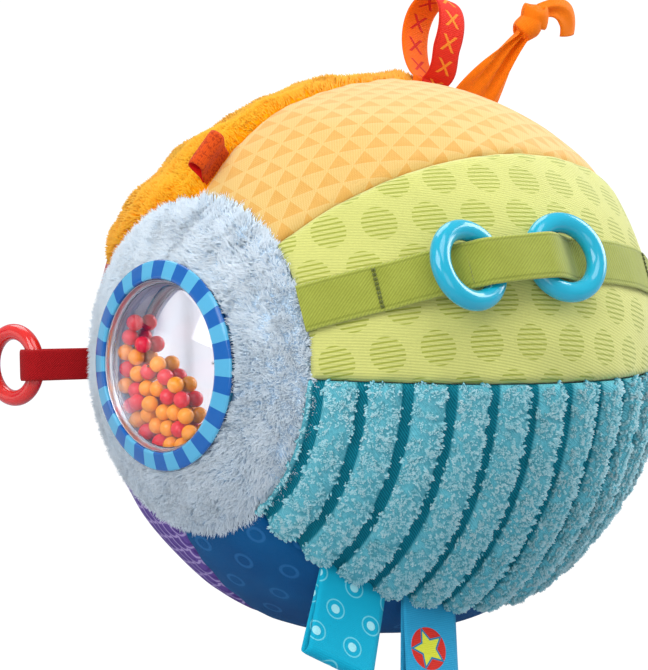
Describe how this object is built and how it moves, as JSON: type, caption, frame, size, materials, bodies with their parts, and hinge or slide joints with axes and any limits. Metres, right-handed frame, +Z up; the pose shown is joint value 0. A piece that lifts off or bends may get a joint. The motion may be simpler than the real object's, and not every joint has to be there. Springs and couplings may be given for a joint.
{
  "type": "sensory ball",
  "caption": "Soft stuffed ball of seven sewn panels with a clear bead window, a strap with two sliding rings, a hanging ring, ribbon loops and tabs.",
  "frame": {"origin": "middle of the small flat that the ball rests on", "axes": "+Z up; the bead window's axis leans 15 degrees up out of -Y; +X to the right of someone who faces the window"},
  "size_m": [0.1708, 0.1804, 0.1785],
  "materials": {
    "white_fibre": "loose polyester fibre",
    "pale_blue_plush": "long soft pile",
    "orange_plush": "short pile plush",
    "yellow_cotton": "printed woven cotton",
    "green_twill": "printed twill",
    "teal_chenille": "wide-rib chenille",
    "navy_velour": "printed velour",
    "purple_cotton": "printed woven cotton",
    "red_velour": "short pile velour",
    "white_plastic": "moulded",
    "mirror_foil": "polished film",
    "clear_plastic": "clear, polished",
    "blue_plastic": "polished, striped in two blues",
    "red_bead": "polished",
    "yellow_bead": "polished",
    "olive_twill": "twill",
    "olive_thread": "sewing thread",
    "turquoise_plastic": "polished",
    "red_twill": "twill",
    "red_plastic": "polished",
    "cross_ribbon": "woven ribbon, crosses",
    "orange_ribbon": "woven ribbon",
    "label_ribbon": "satin ribbon, blank",
    "turquoise_ribbon": "woven ribbon, rings and dots",
    "blue_ribbon": "woven ribbon, star in a circle"
  },
  "bodies": {
    "ball": {"stuffing": "white_fibre", "front_disc": "pale_blue_plush", "back_disc": "pale_blue_plush", "orange_panel": "orange_plush", "yellow_panel": "yellow_cotton", "green_panel": "green_twill", "teal_panel": "teal_chenille", "navy_panel": "navy_velour", "purple_panel": "purple_cotton", "red_panel": "red_velour", "window_tray": "white_plastic", "mirror_foil": "mirror_foil", "window_dome": "clear_plastic", "window_frame": "blue_plastic", "green_strap": "olive_twill", "strap_stitches": "olive_thread"},
    "beads": {"red_beads": "red_bead", "yellow_beads": "yellow_bead"},
    "left_ring": {"left_ring": "turquoise_plastic"},
    "right_ring": {"right_ring": "turquoise_plastic"},
    "red_strap": {"red_strap": "red_twill"},
    "red_ring": {"red_ring": "red_plastic"},
    "cross_loop": {"cross_loop": "cross_ribbon"},
    "knotted_ribbon": {"knotted_ribbon": "orange_ribbon"},
    "label_tab": {"label_tab": "label_ribbon"},
    "circle_loop": {"circle_loop": "turquoise_ribbon"},
    "star_tab": {"star_tab": "blue_ribbon"}
  },
  "joints": [
    {"name": "beads_roll", "type": "hinge", "parent": "ball", "child": "beads", "pos_m": [0, 0, 0.0831], "axis": [0, -0.9659, 0.2588], "continuous": true},
    {"name": "left_ring_slide", "type": "hinge", "parent": "ball", "child": "left_ring", "pos_m": [0, 0, 0.0831], "axis": [-0.6004, 0.207, 0.7724], "range_deg": [-7, 2], "deforming": ["green_strap"]},
    {"name": "right_ring_slide", "type": "hinge", "parent": "ball", "child": "right_ring", "pos_m": [0, 0, 0.0831], "axis": [-0.6004, 0.207, 0.7724], "range_deg": [-2, 20], "deforming": ["green_strap"]},
    {"name": "red_strap_swing", "type": "hinge", "parent": "ball", "child": "red_strap", "pos_m": [-0.04828, -0.07045, 0.08516], "axis": [0.319, -0.2453, -0.9155], "range_deg": [-35, 45], "stiffness_Nm_per_rad": 0.01},
    {"name": "red_ring_swing", "type": "hinge", "parent": "red_strap", "child": "red_ring", "pos_m": [-0.05704, -0.08324, 0.08553], "axis": [0.319, -0.2453, -0.9155], "range_deg": [-124, 26]},
    {"name": "cross_loop_swing", "type": "hinge", "parent": "ball", "child": "cross_loop", "pos_m": [-0.02303, 0.04117, 0.15577], "axis": [0.0663, 0.877, -0.4759], "range_deg": [-55, 70], "stiffness_Nm_per_rad": 0.004},
    {"name": "knotted_ribbon_swing", "type": "hinge", "parent": "ball", "child": "knotted_ribbon", "pos_m": [-0.02098, 0.05838, 0.14369], "axis": [0.1286, 0.736, -0.6646], "range_deg": [-80, 55], "stiffness_Nm_per_rad": 0.006},
    {"name": "label_tab_swing", "type": "hinge", "parent": "ball", "child": "label_tab", "pos_m": [-0.01588, -0.04777, 0.15363], "axis": [-0.2036, 0.8313, 0.5172], "range_deg": [-70, 55], "stiffness_Nm_per_rad": 0.004},
    {"name": "circle_loop_swing", "type": "hinge", "parent": "ball", "child": "circle_loop", "pos_m": [0.05434, -0.05529, 0.0483], "axis": [0.3919, 0.7341, -0.5545], "range_deg": [-8, 70], "stiffness_Nm_per_rad": 0.004},
    {"name": "star_tab_swing", "type": "hinge", "parent": "ball", "child": "star_tab", "pos_m": [0.06194, -0.03329, 0.03547], "axis": [0.1751, 0.8993, -0.4008], "range_deg": [-20, 62], "stiffness_Nm_per_rad": 0.004}
  ]
}
